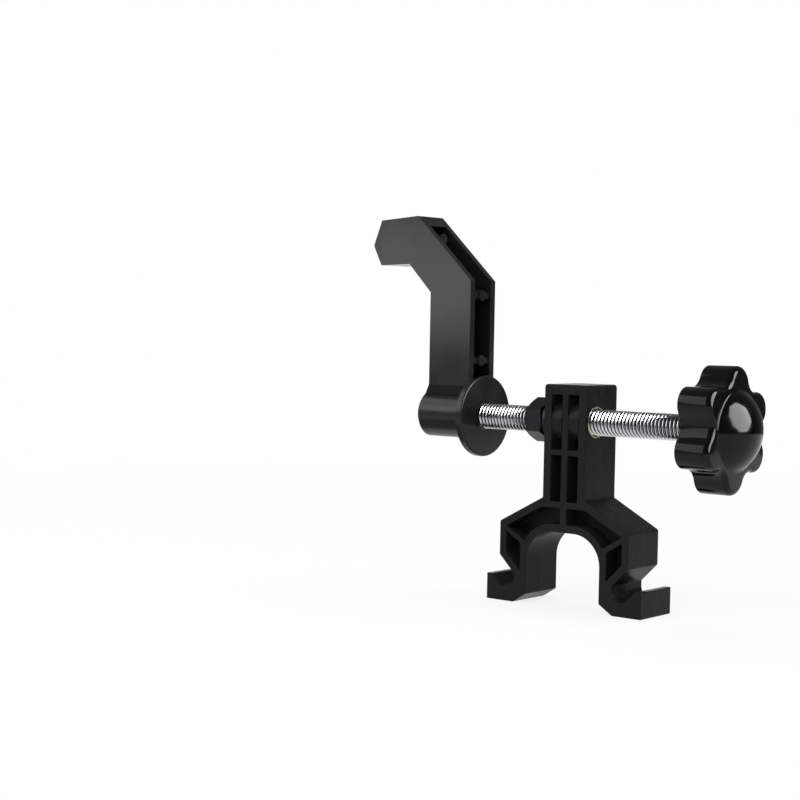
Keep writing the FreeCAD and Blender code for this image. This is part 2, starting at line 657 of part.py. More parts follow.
def build_hub_cap():
    """Cap with a stepped rim and a blunt cone that closes the hub's left end."""
    body = new_body("hub_cap")
    sketch = new_sketch(body, "hub_cap_profile", "XZ_Plane")
    add_loop(sketch, [
        ("-cap_end", 0), ("-cap_inner", 0), ("-cap_inner", "cap_r"), ("-hub_left", "cap_r"),
        ("-hub_left", "cap_rim_r"), ("-cap_left", "cap_rim_r"), ("-cap_left", "cap_cone_r"),
        ("-cap_end", "cap_nose_r"),
    ])
    turn(body, "Revolution", "hub_cap_turned", sketch)
    return body


def build_knob():
    """Six-lobed knob with a domed front, a rear recess with a ribbed hub, and a hole for its insert."""
    body = new_body("knob")
    outline = new_sketch(body, "knob_outline", "YZ_Plane", "knob_rear")
    ends = []
    for lobe in range(LOBES):
        near_side = touch_point(lobe, -1)
        far_side = touch_point(lobe, 1)
        next_side = touch_point(lobe + 1, -1)
        ends.append(add_arc(outline, spoke(lobe) * size("lobe_centre"), near_side, far_side, "lobe_round", 1))
        ends.append(add_arc(outline, spoke(lobe + 0.5) * size("valley_centre"), far_side, next_side,
                            "valley_round", -1))
    join_ends(outline, ends)
    for index, (edge, begin, _) in enumerate(ends):
        pin_touch_point(outline, edge, begin, index // 2, -1 if index % 2 == 0 else 1)
    rim = pad(body, "knob_rim", outline, "Sizes.knob_front - Sizes.knob_rear")
    front = round_edges(
        body, "knob_front_edge", rim, "knob_front_round",
        lambda edge, middle: edge.BoundBox.XLength < 0.01 and near(middle.x, size("knob_front")))
    rear = round_edges(
        body, "knob_rear_edge", front, "knob_rear_round",
        lambda edge, middle: edge.BoundBox.XLength < 0.01 and near(middle.x, size("knob_rear")))

    dome_sketch = new_sketch(body, "dome_profile", "XZ_Plane")
    add_loop(
        dome_sketch,
        [("knob_middle", 0), ("dome_top", 0), ("knob_front", "dome_r"), ("knob_middle", "dome_r")],
        {1: ("dome_centre", 0, "dome_ball", 1)})
    dome = turn(body, "Revolution", "dome", dome_sketch)
    round_edges(
        body, "dome_foot", dome, "dome_foot_round",
        lambda edge, middle: edge.BoundBox.XLength < 0.01 and near(middle.x, size("knob_front"))
        and near(math.hypot(middle.y, middle.z), size("dome_r")))

    hollow_sketch = new_sketch(body, "knob_hollow_profiles", "XZ_Plane")
    add_loop(hollow_sketch, [("rear_beyond", "boss_hub_r"), ("recess_floor", "boss_hub_r"),
                             ("recess_floor", "recess_r"), ("rear_beyond", "recess_r")])
    add_loop(hollow_sketch, [("rear_beyond", 0), ("knob_insert_end", 0),
                             ("knob_insert_end", "knob_insert_r"), ("rear_beyond", "knob_insert_r")])
    turn(body, "Groove", "knob_hollows", hollow_sketch)

    tooth_sketch = new_sketch(body, "tooth_outline", "YZ_Plane", "tooth_start")
    add_loop(tooth_sketch, [("-tooth_half", "tooth_root"), ("tooth_half", "tooth_root"),
                            ("tooth_half", "tooth_r"), ("-tooth_half", "tooth_r")])
    tooth = pad(body, "hub_rib", tooth_sketch, "Sizes.recess_floor - Sizes.tooth_start + 0.5")
    pattern = body.newObject("PartDesign::PolarPattern", "hub_ribs")
    pattern.Originals = [tooth]
    axis = [item for item in body.Origin.OriginFeatures if item.Role == "X_Axis"][0]
    pattern.Axis = (axis, [""])
    pattern.Angle = 360
    pattern.Occurrences = HUB_RIBS
    body.Tip = pattern
    return body


def lobe_deg(lobe):
    """Direction of a lobe in degrees, anticlockwise from the knob's +Y side; halves are the valleys."""
    return 90 + 360 * lobe / LOBES - size("lobe_lean")


def spoke(lobe):
    swing = math.radians(lobe_deg(lobe))
    return FreeCAD.Vector(math.cos(swing), math.sin(swing), 0)


def touch_point(lobe, side):
    """Point where a lobe's arc meets a valley's arc, on one side of the lobe."""
    along = spoke(lobe)
    across = FreeCAD.Vector(-along.y, along.x, 0)
    return along * size("touch_x") + across * (side * size("touch_y"))


def pin_touch_point(sketch, edge, end, lobe, side):
    """Hold an arc's end at its touch point, worked out from the named sizes."""
    point = touch_point(lobe, side)
    angle = "(%ddeg - Sizes.lobe_lean * 1deg)" % (90 + 360 * lobe // LOBES)
    texts = (
        "Sizes.touch_x * cos%s - %d * Sizes.touch_y * sin%s" % (angle, side, angle),
        "Sizes.touch_x * sin%s + %d * Sizes.touch_y * cos%s" % (angle, side, angle),
    )
    for kind, number, text in (("DistanceX", point.x, texts[0]), ("DistanceY", point.y, texts[1])):
        index = sketch.addConstraint(Sketcher.Constraint(kind, -1, 1, edge, end, number))
        sketch.setExpression("Constraints[%d]" % index, text)


def check_and_export(bodies):
    """Stop on any broken object, then write one STEP file for each piece."""
    doc.recompute()
    for item in doc.Objects:
        if "Invalid" in item.State or "Error" in item.State:
            raise RuntimeError("broken object: %s %s" % (item.Name, item.State))
    os.makedirs("parts", exist_ok=True)
    for body in bodies:
        shape = body.Shape
        if shape.isNull() or not shape.isValid() or len(shape.Solids) != 1:
            raise RuntimeError("bad shape: " + body.Label)
        shape.exportStep("parts/%s.step" % body.Label)
        box = shape.BoundBox
        print("%-16s %9.1f mm3  x %.2f..%.2f  y %.2f..%.2f  z %.2f..%.2f" % (
            body.Label, shape.Volume, box.XMin, box.XMax, box.YMin, box.YMax, box.ZMin, box.ZMax))


fill_sheet()
pieces = [
    build_bracket(),
    ring_body("threaded_insert", "insert_r", "insert_hole", "-column_half", "column_half"),
    build_screw(),
    ring_body("thrust_washer", "thrust_r", "washer_hole", "-thrust_seat", "-shoulder_x"),
    build_retaining_ring(),
    build_knob(),
    ring_body("knob_insert", "knob_insert_r", "screw_r", "knob_rear", "knob_insert_end"),
    ring_body("lock_washer", "lock_washer_r", "lock_washer_hole", "-washer_left", "-column_half"),
    build_lock_nut(),
    build_arm(),
    ring_body("hub_bush", "bush_r", "bush_hole", "-bush_left", "-thrust_seat"),
    build_hub_cap(),
]
check_and_export(pieces)
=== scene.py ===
import math

import bmesh
import bpy
import numpy as np
from mathutils import Matrix, Vector


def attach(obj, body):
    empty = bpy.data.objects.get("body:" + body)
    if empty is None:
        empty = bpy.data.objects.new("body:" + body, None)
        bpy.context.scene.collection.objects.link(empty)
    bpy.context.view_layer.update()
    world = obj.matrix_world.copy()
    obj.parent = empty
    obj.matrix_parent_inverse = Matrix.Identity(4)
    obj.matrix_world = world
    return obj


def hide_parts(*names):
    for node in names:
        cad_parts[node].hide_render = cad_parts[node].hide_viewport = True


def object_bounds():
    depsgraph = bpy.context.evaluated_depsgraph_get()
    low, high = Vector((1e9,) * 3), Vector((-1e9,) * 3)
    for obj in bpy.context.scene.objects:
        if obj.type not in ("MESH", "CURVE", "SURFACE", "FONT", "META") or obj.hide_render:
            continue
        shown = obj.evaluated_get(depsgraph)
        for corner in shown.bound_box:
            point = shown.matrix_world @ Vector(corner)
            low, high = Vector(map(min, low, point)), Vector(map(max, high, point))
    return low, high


bl_info = {
    "name": "Wheel truing gauge",
    "version": (1, 0, 0),
    "blender": (4, 5, 0),
    "location": "View3D > Sidebar > Truing gauge",
    "description": "Threads, mouldings, finishes and studio for the clamp-on wheel truing gauge",
    "category": "Object",
}

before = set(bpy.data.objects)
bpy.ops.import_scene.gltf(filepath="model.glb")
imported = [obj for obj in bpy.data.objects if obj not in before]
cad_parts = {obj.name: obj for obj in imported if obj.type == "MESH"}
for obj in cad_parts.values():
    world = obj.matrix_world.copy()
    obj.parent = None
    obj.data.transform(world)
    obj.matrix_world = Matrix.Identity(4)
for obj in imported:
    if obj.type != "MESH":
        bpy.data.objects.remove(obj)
CAD_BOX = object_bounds()

# The screw's axis in the shared frame, in metres: +X runs towards the knob.
AXIS_Y = -0.0023
AXIS_Z = 0.034
FLOOR_Z = CAD_BOX[0][2]

# Faces along the screw's axis at the column, and the bore that insert and nut share.
COLUMN_HALF = 0.0076
WASHER_LEFT = -0.0089
NUT_LEFT = -0.0154
BORE = 0.00405


class ScrewSizes(bpy.types.PropertyGroup):
    """Sizes of the M8 screw and its rolled thread."""

    pitch: bpy.props.FloatProperty(
        name="Pitch", description="Advance of the thread in one turn",
        default=0.00125, unit="LENGTH", precision=5)
    crest: bpy.props.FloatProperty(
        name="Crest radius", description="Outer radius of the thread",
        default=0.004, unit="LENGTH", precision=5)
    root: bpy.props.FloatProperty(
        name="Root radius", description="Radius at the bottom of the thread",
        default=0.00323, unit="LENGTH", precision=5)
    left: bpy.props.FloatProperty(
        name="Thread start", description="Shoulder where the thread begins",
        default=-0.0366, unit="LENGTH", precision=5)
    right: bpy.props.FloatProperty(
        name="Thread end", description="End of the thread inside the knob",
        default=0.0566, unit="LENGTH", precision=5)
    around: bpy.props.IntProperty(
        name="Facets", description="Steps in one turn round the screw", default=48, min=12)


class KnobSizes(bpy.types.PropertyGroup):
    """Sizes of the six-lobed hand knob."""

    lobe_tip: bpy.props.FloatProperty(
        name="Lobe tip", description="Radius over the lobes",
        default=0.0187, unit="LENGTH", precision=5)
    lobe_round: bpy.props.FloatProperty(
        name="Lobe rounding", description="Radius of each lobe's end",
        default=0.005, unit="LENGTH", precision=5)
    valley: bpy.props.FloatProperty(
        name="Valley", description="Radius at the bottom of a valley",
        default=0.0145, unit="LENGTH", precision=5)
    rear: bpy.props.FloatProperty(
        name="Rear face", description="Rear face along the screw",
        default=0.0448, unit="LENGTH", precision=5)
    front: bpy.props.FloatProperty(
        name="Front face", description="Front face along the screw",
        default=0.0558, unit="LENGTH", precision=5)
    dome_foot: bpy.props.FloatProperty(
        name="Dome foot", description="Radius of the dome's foot",
        default=0.01195, unit="LENGTH", precision=5)
    dome_top: bpy.props.FloatProperty(
        name="Dome top", description="Top of the dome along the screw",
        default=0.0618, unit="LENGTH", precision=5)
    lean: bpy.props.FloatProperty(
        name="Lean", description="Angle by which the top lobe leans to the rear",
        default=math.radians(4.1), subtype="ANGLE")


class Finishes(bpy.types.PropertyGroup):
    """Edge softness and colours that a user would change."""

    edge: bpy.props.FloatProperty(
        name="Moulded edge", description="Rounding of the mouldings' edges",
        default=0.0003, unit="LENGTH", precision=5)
    nylon: bpy.props.StringProperty(
        name="Bracket nylon", description="sRGB hex of the bracket's nylon", default="19191a")
    arm_nylon: bpy.props.StringProperty(
        name="Arm nylon", description="sRGB hex of the arm's nylon", default="141415")
    phenolic: bpy.props.StringProperty(
        name="Knob phenolic", description="sRGB hex of the knob's moulding", default="060606")
    zinc: bpy.props.StringProperty(
        name="Zinc plate", description="sRGB hex of the screw's plating", default="dcdee0")


def linear(code):
    """sRGB hex to linear colour: c / 12.92 up to 0.04045, else ((c + 0.055) / 1.055) to the power 2.4."""
    values = [int(code[i:i + 2], 16) / 255 for i in (0, 2, 4)]
    return [c / 12.92 if c <= 0.04045 else ((c + 0.055) / 1.055) ** 2.4 for c in values] + [1.0]


def add(tree, kind, settings=None, links=None):
    """Add a node, set its own settings and its sockets, and link sockets from (node, output) pairs."""
    node = tree.nodes.new(kind)
    for key, value in (settings or {}).items():
        if isinstance(key, int) or key in node.inputs:
            node.inputs[key].default_value = value
        else:
            setattr(node, key, value)
    for key, (source, output) in (links or {}).items():
        tree.links.new(source.outputs[output], node.inputs[key])
    return node


def new_material(name):
    """Empty node material, its tree and its Object coordinates."""
    material = bpy.data.materials.new(name)
    material.use_nodes = True
    tree = material.node_tree
    tree.nodes.clear()
    place = add(tree, "ShaderNodeTexCoord")
    return material, tree, place


def close_material(tree, shader):
    """Join a finished shader to the material's output."""
    add(tree, "ShaderNodeOutputMaterial", links={"Surface": (shader, 0)})


def per_mm(millimetres):
    """Texture scale at which one cell of a pattern is that many millimetres across."""
    return 1000.0 / millimetres


def off_axis(tree, place):
    """Coordinates about the screw's axis, split into X, Y and Z, and the distance from that axis."""
    centre = add(tree, "ShaderNodeMapping", {"Location": (0.0, -AXIS_Y, -AXIS_Z)},
                 {"Vector": (place, "Object")})
    parts = add(tree, "ShaderNodeSeparateXYZ", links={"Vector": (centre, 0)})
    flat = add(tree, "ShaderNodeCombineXYZ", links={"Y": (parts, "Y"), "Z": (parts, "Z")})
    return parts, add(tree, "ShaderNodeVectorMath", {"operation": "LENGTH"}, {0: (flat, 0)})


def moulded_nylon(name, colour, lighter, roughness, grain_mm, depth_mm, level, seam_mm):
    """Black nylon moulded against a spark-eroded tool: a fine even grain breaks up its weak sheen, and a
    thin flash line runs where the halves of the tool met, on the plane y = 0. Spark grain is under 0.1 mm
    across and is drawn coarser, at grain_mm, because finer doesn't show."""
    flow_mm, flash_half = 14.0, 0.00022
    material, tree, place = new_material(name)
    grain = add(tree, "ShaderNodeTexNoise", {"Scale": per_mm(grain_mm), "Detail": 4.0, "Roughness": 0.6},
                {"Vector": (place, "Object")})
    flow = add(tree, "ShaderNodeTexNoise", {"Scale": per_mm(flow_mm), "Detail": 3.0, "Roughness": 0.55},
               {"Vector": (place, "Object")})
    tone = add(tree, "ShaderNodeMix", {"data_type": "RGBA", 6: linear(colour), 7: linear(lighter)},
               {0: (flow, 0)})
    shine = add(tree, "ShaderNodeMapRange",
                {"From Min": 0.3, "From Max": 0.7, "To Min": roughness - 0.05, "To Max": roughness + 0.06},
                {"Value": (flow, 0)})
    parts = add(tree, "ShaderNodeSeparateXYZ", links={"Vector": (place, "Object")})
    away = add(tree, "ShaderNodeMath", {"operation": "ABSOLUTE"}, {0: (parts, "Y")})
    flash = add(tree, "ShaderNodeMapRange",
                {"From Min": 0.0, "From Max": flash_half, "To Min": seam_mm / 1000, "To Max": 0.0},
                {"Value": (away, 0)})
    texture = add(tree, "ShaderNodeMath", {"operation": "MULTIPLY", 1: depth_mm / 2000}, {0: (grain, 0)})
    height = add(tree, "ShaderNodeMath", {"operation": "ADD"}, {0: (flash, 0), 1: (texture, 0)})
    bump = add(tree, "ShaderNodeBump", {"Strength": 1.0, "Distance": 1.0}, {"Height": (height, 0)})
    shader = add(tree, "ShaderNodeBsdfPrincipled",
                 {"IOR": 1.53, "Metallic": 0.0, "Specular IOR Level": level},
                 {"Base Color": (tone, 2), "Roughness": (shine, 0), "Normal": (bump, 0)})
    close_material(tree, shader)
    return material


def polished_phenolic(name, colour):
    """Black phenolic pressed in a polished tool: deep gloss, dulled a little here and there by handling."""
    smudge_mm, ripple_mm = 4.0, 5.0
    material, tree, place = new_material(name)
    smudge = add(tree, "ShaderNodeTexNoise", {"Scale": per_mm(smudge_mm), "Detail": 4.0, "Roughness": 0.6},
                 {"Vector": (place, "Object")})
    shine = add(tree, "ShaderNodeMapRange",
                {"From Min": 0.35, "From Max": 0.75, "To Min": 0.06, "To Max": 0.20}, {"Value": (smudge, 0)})
    ripple = add(tree, "ShaderNodeTexNoise", {"Scale": per_mm(ripple_mm), "Detail": 1.0},
                 {"Vector": (place, "Object")})
    bump = add(tree, "ShaderNodeBump", {"Strength": 0.25, "Distance": 0.00005}, {"Height": (ripple, 0)})
    tone = add(tree, "ShaderNodeMix", {"data_type": "RGBA", 6: linear(colour), 7: linear("0b0b0b")},
               {0: (smudge, 0)})
    shader = add(tree, "ShaderNodeBsdfPrincipled",
                 {"IOR": 1.5, "Metallic": 0.0, "Specular IOR Level": 0.2},
                 {"Base Color": (tone, 2), "Roughness": (shine, 0), "Normal": (bump, 0)})
    close_material(tree, shader)
    return material


def plated_steel(name, colour, darker, low, high, groove=None):
    """Plated or blackened steel: metal whose plating clouds a little from place to place. The plate's own
    texture is under 0.05 mm and is drawn coarser, at fine_mm, because finer doesn't show. On a thread,
    groove is a painted shade colour for its roots, standing for the shade that falls deep between the bright
    crests."""
    cloud_mm, fine_mm = 1.2, 0.2
    root_shade_low, root_shade_high = 0.0034, 0.0038
    material, tree, place = new_material(name)
    cloud = add(tree, "ShaderNodeTexNoise", {"Scale": per_mm(cloud_mm), "Detail": 5.0, "Roughness": 0.6},
                {"Vector": (place, "Object")})
    tone = add(tree, "ShaderNodeMix", {"data_type": "RGBA", 6: linear(darker), 7: linear(colour)},
               {0: (cloud, 0)})
    # On a thread, the roots get painted shade: the colour darkens to groove towards the screw's axis.
    if groove:
        reach = off_axis(tree, place)[1]
        depth = add(tree, "ShaderNodeMapRange", {"From Min": root_shade_low, "From Max": root_shade_high},
                    {"Value": (reach, "Value")})
        tone = add(tree, "ShaderNodeMix", {"data_type": "RGBA", 6: linear(groove)},
                   {0: (depth, 0), 7: (tone, 2)})
    shine = add(tree, "ShaderNodeMapRange", {"From Min": 0.3, "From Max": 0.7, "To Min": low, "To Max": high},
                {"Value": (cloud, 0)})
    fine = add(tree, "ShaderNodeTexNoise", {"Scale": per_mm(fine_mm), "Detail": 2.0},
               {"Vector": (place, "Object")})
    bump = add(tree, "ShaderNodeBump", {"Strength": 0.15, "Distance": 0.00001}, {"Height": (fine, 0)})
    shader = add(tree, "ShaderNodeBsdfPrincipled", {"Metallic": 1.0},
                 {"Base Color": (tone, 2), "Roughness": (shine, 0), "Normal": (bump, 0)})
    close_material(tree, shader)
    return material


def turned_metal(name, colour, darker):
    """Lathe-turned metal: rings round the screw's axis catch the light as short arcs. A lathe leaves them
    under 0.1 mm apart; they are drawn coarser, at ring_mm, because finer doesn't show."""
    ring_mm = 0.12
    material, tree, place = new_material(name)
    parts, reach = off_axis(tree, place)
    total = add(tree, "ShaderNodeMath", {"operation": "ADD"}, {0: (reach, "Value"), 1: (parts, "X")})
    rings = add(tree, "ShaderNodeTexNoise",
                {"noise_dimensions": "1D", "Scale": per_mm(ring_mm), "Detail": 2.0}, {"W": (total, 0)})
    tone = add(tree, "ShaderNodeMix", {"data_type": "RGBA", 6: linear(darker), 7: linear(colour)},
               {0: (rings, 0)})
    shine = add(tree, "ShaderNodeMapRange",
                {"From Min": 0.3, "From Max": 0.7, "To Min": 0.2, "To Max": 0.36}, {"Value": (rings, 0)})
    bump = add(tree, "ShaderNodeBump", {"Strength": 0.3, "Distance": 0.00001}, {"Height": (rings, 0)})
    shader = add(tree, "ShaderNodeBsdfPrincipled", {"Metallic": 1.0},
                 {"Base Color": (tone, 2), "Roughness": (shine, 0), "Normal": (bump, 0)})
    close_material(tree, shader)
    return material


def mesh_object(name, vertices, faces, sharp_deg=35.0):
    """Object at the origin from vertex and face lists, smooth except at edges sharper than sharp_deg."""
    mesh = bpy.data.meshes.new(name)
    mesh.from_pydata([tuple(v) for v in vertices], [], faces)
    mesh.polygons.foreach_set("use_smooth", [True] * len(mesh.polygons))
    mesh.set_sharp_from_angle(angle=math.radians(sharp_deg))
    mesh.validate()
    mesh.update()
    obj = bpy.data.objects.new(name, mesh)
    bpy.context.scene.collection.objects.link(obj)
    return obj


def turned(name, x, radius, around=96, sharp_deg=35.0):
    """Closed surface about the screw's axis.
    Point (i, j) is (x_i, radius_ij cos t_j, radius_ij sin t_j) about the axis, t_j = 2 pi j / around;
    the first and last rows have no radius and close the ends at one point each."""
    x = np.asarray(x, float)
    radius = np.asarray(radius, float)
    if radius.ndim == 1:
        radius = np.repeat(radius[:, None], around, axis=1)
    angle = np.arange(around) * (2 * math.pi / around)
    rows = len(x) - 2
    inner = radius[1:-1]
    along = np.repeat(x[1:-1, None], around, axis=1)
    grid = np.stack([along, AXIS_Y + inner * np.cos(angle), AXIS_Z + inner * np.sin(angle)], axis=2)
    vertices = np.concatenate([grid.reshape(-1, 3), [[x[0], AXIS_Y, AXIS_Z], [x[-1], AXIS_Y, AXIS_Z]]])
    i, j = np.meshgrid(np.arange(rows - 1), np.arange(around), indexing="ij")
    a = (i * around + j).ravel()
    b = (i * around + (j + 1) % around).ravel()
    quads = np.stack([a, b, b + around, a + around], axis=1).tolist()
    ring = np.arange(around)
    after = (ring + 1) % around
    first, last = rows * around, rows * around + 1
    start = np.stack([np.full(around, first), after, ring], axis=1).tolist()
    top = (rows - 1) * around
    end = np.stack([np.full(around, last), top + ring, top + after], axis=1).tolist()
    return mesh_object(name, vertices, quads + start + end, sharp_deg)


def profile(*points):
    """One profile from points (x, r), as an array of x and an array of r."""
    return np.array(points, float).T


def thread_rod(name, sizes):
    """Threaded rod as one closed surface.
    Point (k, j) sits at x = left + pitch (start + turn_k + place_k + t_j / 2 pi), t_j = 2 pi j / around,
    and its radius follows the thread's profile over one pitch: root, flank, broad rolled crest, flank. A
    row's last point joins the row one turn further on. A plain ring closes each end, and a flat wall stands
    where the thread starts and where it stops."""
    pitch, around = sizes.pitch, sizes.around
    crest, root = sizes.crest, sizes.root
    place = np.array([0.0, 0.06, 0.10, 0.38, 0.46, 0.62, 0.70, 0.96])
    ease, lift_off, end_step = 0.0001, 0.00004, 0.00005
    foot = root + lift_off
    shape = np.array([root, root, foot, crest - ease, crest, crest, crest - ease, foot])
    steps, start = len(place), 0.62
    turns = int((sizes.right - sizes.left) / pitch - start - 1.0)
    along = (start + np.arange(turns)[:, None] + place[None, :]).ravel()
    radius = np.repeat(np.tile(shape, turns)[:, None], around, axis=1)
    angle = np.arange(around) * (2 * math.pi / around)
    x = sizes.left + pitch * (along[:, None] + angle[None, :] / (2 * math.pi))
    rows, end_radius = len(along), root - end_step
    x = np.concatenate([x, np.full((1, around), sizes.left), np.full((1, around), sizes.right)])
    radius = np.concatenate([radius, np.full((2, around), end_radius)])
    grid = np.stack([x, AXIS_Y + radius * np.cos(angle), AXIS_Z + radius * np.sin(angle)], axis=2)

    def at(row, column):
        return row * around + column

    i, j = np.meshgrid(np.arange(rows - 1), np.arange(around), indexing="ij")
    i, j = i.ravel(), j.ravel()
    wrap = (j + 1) == around
    lift = np.where(wrap, steps, 0)
    keep = (i + 1 + lift) < rows
    i, j, lift = i[keep], j[keep], lift[keep]
    a = at(i, j)
    b = at(i + lift, (j + 1) % around)
    quads = np.stack([a, b, b + around, a + around], axis=1).tolist()
    j = np.arange(around - 1)
    final, left, right, last = rows - 1, rows, rows + 1, around - 1
    quads += np.stack([at(left, j), at(left, j + 1), at(0, j + 1), at(0, j)], axis=1).tolist()
    quads += np.stack([at(final, j), at(final, j + 1), at(right, j + 1), at(right, j)], axis=1).tolist()
    quads.append([at(left, last), at(left, 0), at(steps, 0), at(0, last)])
    quads.append([at(final - steps, last), at(final, 0), at(right, 0), at(right, last)])
    walls = [[at(left, 0)] + at(np.arange(steps + 1), 0).tolist(),
             [at(right, last)] + at(np.arange(final, final - steps - 1, -1), last).tolist(),
             at(left, np.arange(last, -1, -1)).tolist(), at(right, np.arange(around)).tolist()]
    return mesh_object(name, grid.reshape(-1, 3), quads + walls, 40.0)


def knob_outline(sizes, angle):
    """Radius of the lobed outline at each angle.
    Each lobe is an arc of radius lobe_round about a point at lobe_tip - lobe_round, met by a hollow arc that
    touches both its lobes and comes as near to the axis as the valley radius."""
    half = math.pi / 6
    lobe = sizes.lobe_tip - sizes.lobe_round
    reach = sizes.valley - sizes.lobe_round
    far = (lobe ** 2 - reach ** 2) / (2 * (lobe * math.cos(half) - reach))
    hollow = far - sizes.valley
    share = sizes.lobe_round / (sizes.lobe_round + hollow)
    touch = math.atan2(share * far * math.sin(half), lobe + share * (far * math.cos(half) - lobe))
    t = np.abs((angle - math.pi / 2 + sizes.lean + half) % (2 * half) - half)
    u = half - t
    on_lobe = lobe * np.cos(t) + np.sqrt(np.maximum(sizes.lobe_round ** 2 - (lobe * np.sin(t)) ** 2, 0))
    on_hollow = far * np.cos(u) - np.sqrt(np.maximum(hollow ** 2 - (far * np.sin(u)) ** 2, 0))
    return np.where(t < touch, on_lobe, on_hollow)


def star_knob(name, sizes, around=360):
    """Lobed knob as one closed surface.
    Row i has radius share_i outline(t) + plain_i + rib_i tooth(t): the rim follows the lobes, the dome and
    the hub stay round, and small ribs stand on the hub inside the rear recess, where the tooth rises from 0
    to 1 as the cosine of ribs times t goes from rib_foot to rib_foot + rib_flank. The dome is a ball's cap,
    eased into the front face by an arc that touches both."""
    angle = np.arange(around) * (2 * math.pi / around)
    outline = knob_outline(sizes, angle)
    rear, front = sizes.rear, sizes.front
    front_round, rear_round, foot_round = 0.0018, 0.0007, 0.0006
    hub, bore, recess, floor = 0.0073, 0.0052, 0.0096, 0.0510
    bore_end, edge, middle = 0.0572, 0.0003, 0.5
    ribs, rib_start, rib_step, rib_height, rib_foot, rib_flank = 12, 0.0456, 0.0001, 0.001, 0.55, 0.2
    rise = sizes.dome_top - front
    ball = (sizes.dome_foot ** 2 + rise ** 2) / (2 * rise)
    centre = sizes.dome_top - ball
    foot_x = front + foot_round
    foot_r = math.sqrt((ball + foot_round) ** 2 - (foot_x - centre) ** 2)
    foot_angle = math.atan2(foot_r, foot_x - centre)
    rows = [(bore_end, 0, 0, 0), (bore_end, 0, bore, 0), (rear, 0, bore, 0), (rear, 0, hub - edge, 0),
            (rear + edge, 0, hub, 0), (rib_start, 0, hub, 0), (rib_start + rib_step, 0, hub, 1),
            (floor, 0, hub, 1), (floor, 0, recess, 0), (rear + edge, 0, recess, 0),
            (rear, 0, recess + edge, 0), (rear, middle, (1 - middle) * recess, 0)]
    for t in np.radians(np.linspace(0, 90, 7)):
        rows.append((rear + rear_round * (1 - math.cos(t)), 1, -rear_round * (1 - math.sin(t)), 0))
    for t in np.radians(np.linspace(0, 90, 11)):
        rows.append((front - front_round * (1 - math.sin(t)), 1, -front_round * (1 - math.cos(t)), 0))
    for t in np.linspace(-math.pi, foot_angle - math.pi, 7):
        rows.append((foot_x + foot_round * math.cos(t), 0, foot_r + foot_round * math.sin(t), 0))
    for t in np.linspace(foot_angle, 0, 40)[1:]:
        rows.append((centre + ball * math.cos(t), 0, ball * math.sin(t), 0))
    table = np.array(rows, float)
    tooth = np.clip((np.cos(ribs * angle) - rib_foot) / rib_flank, 0, 1) * rib_height
    radius = table[:, 1:2] * outline[None, :] + table[:, 2:3] + table[:, 3:4] * tooth[None, :]
    return turned(name, table[:, 0], radius, around, sharp_deg=40.0)


def softened_copy(name, node, width):
    """Copy of a node's solid with its coplanar triangles joined and its edges rounded by a bevel."""
    weld, flat_deg, crease_deg = 2e-6, 0.4, 24.0
    work = bmesh.new()
    work.from_mesh(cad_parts[node].data)
    bmesh.ops.remove_doubles(work, verts=work.verts, dist=weld)
    bmesh.ops.dissolve_limit(work, angle_limit=math.radians(flat_deg), verts=work.verts,
                             edges=work.edges)
    bmesh.ops.recalc_face_normals(work, faces=work.faces)
    mesh = bpy.data.meshes.new(name)
    work.to_mesh(mesh)
    work.free()
    if "custom_normal" in mesh.attributes:
        mesh.attributes.remove(mesh.attributes["custom_normal"])
    mesh.polygons.foreach_set("use_smooth", [True] * len(mesh.polygons))
    obj = bpy.data.objects.new(name, mesh)
    bpy.context.scene.collection.objects.link(obj)
    bevel = obj.modifiers.new("edges", "BEVEL")
    bevel.width = width
    bevel.segments = 3
    bevel.limit_method = "ANGLE"
    bevel.angle_limit = math.radians(crease_deg)
    bevel.harden_normals = True
    bevel.use_clamp_overlap = True
    return obj


def dress(obj, body, slot, material, *nodes):
    """Give a new piece its material and its body, and hide the nodes that it stands for. The slot is not
    used.
    """
    obj.data.materials.clear()
    obj.data.materials.append(material)
    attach(obj, body)
    if nodes:
        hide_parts(*nodes)


def coat(node, material):
    """Give a node of the frame its material and leave its shape."""
    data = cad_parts[node].data
    data.materials.clear()
    data.materials.append(material)


class GAUGE_OT_bracket(bpy.types.Operator):
    """Ribbed saddle bracket in grained black nylon"""

    bl_idname = "gauge.bracket"
    bl_label = "Bracket"

    def execute(self, context):
        finish = context.scene.gauge_finishes
        obj = softened_copy("bracket_moulding", "bracket", finish.edge)
        nylon = moulded_nylon("grained_black_nylon", finish.nylon, "222223", roughness=0.28, grain_mm=0.35,
                              depth_mm=0.006, level=0.06, seam_mm=0.035)
        dress(obj, "bracket", "bracket_plastic", nylon, "bracket")
        return {"FINISHED"}


class GAUGE_OT_arm(bpy.types.Operator):
    """Cranked feeler arm in satin black nylon, with the cap on its hub"""

    bl_idname = "gauge.arm"
    bl_label = "Feeler arm"

    def execute(self, context):
        finish = context.scene.gauge_finishes
        nylon = moulded_nylon("satin_black_nylon", finish.arm_nylon, "1a1a1b", roughness=0.25, grain_mm=0.5,
                              depth_mm=0.004, level=0.27, seam_mm=0.0)
        obj = softened_copy("arm_moulding", "arm", finish.edge)
        dress(obj, "arm", "arm_plastic", nylon, "arm")
        tip, cone, seat, end = -0.0620, -0.0578, -0.0568, -0.0534
        rim, plug, edge = 0.0066, 0.0056, 0.0002
        x, r = profile((tip, 0.0), (tip, 0.0008), (tip + 0.0001, 0.0012), (cone, 0.0052), (cone, rim - edge),
                       (cone + edge, rim), (seat - edge, rim), (seat, rim - edge), (seat, plug), (end, plug),
                       (end, 0.0))
        cap = turned("hub_cap_turned", x, r)
        dress(cap, "arm", "arm_plastic", nylon, "hub_cap")
        coat("hub_bush", turned_metal("sintered_bronze", "b98a55", "8a6238"))
        return {"FINISHED"}


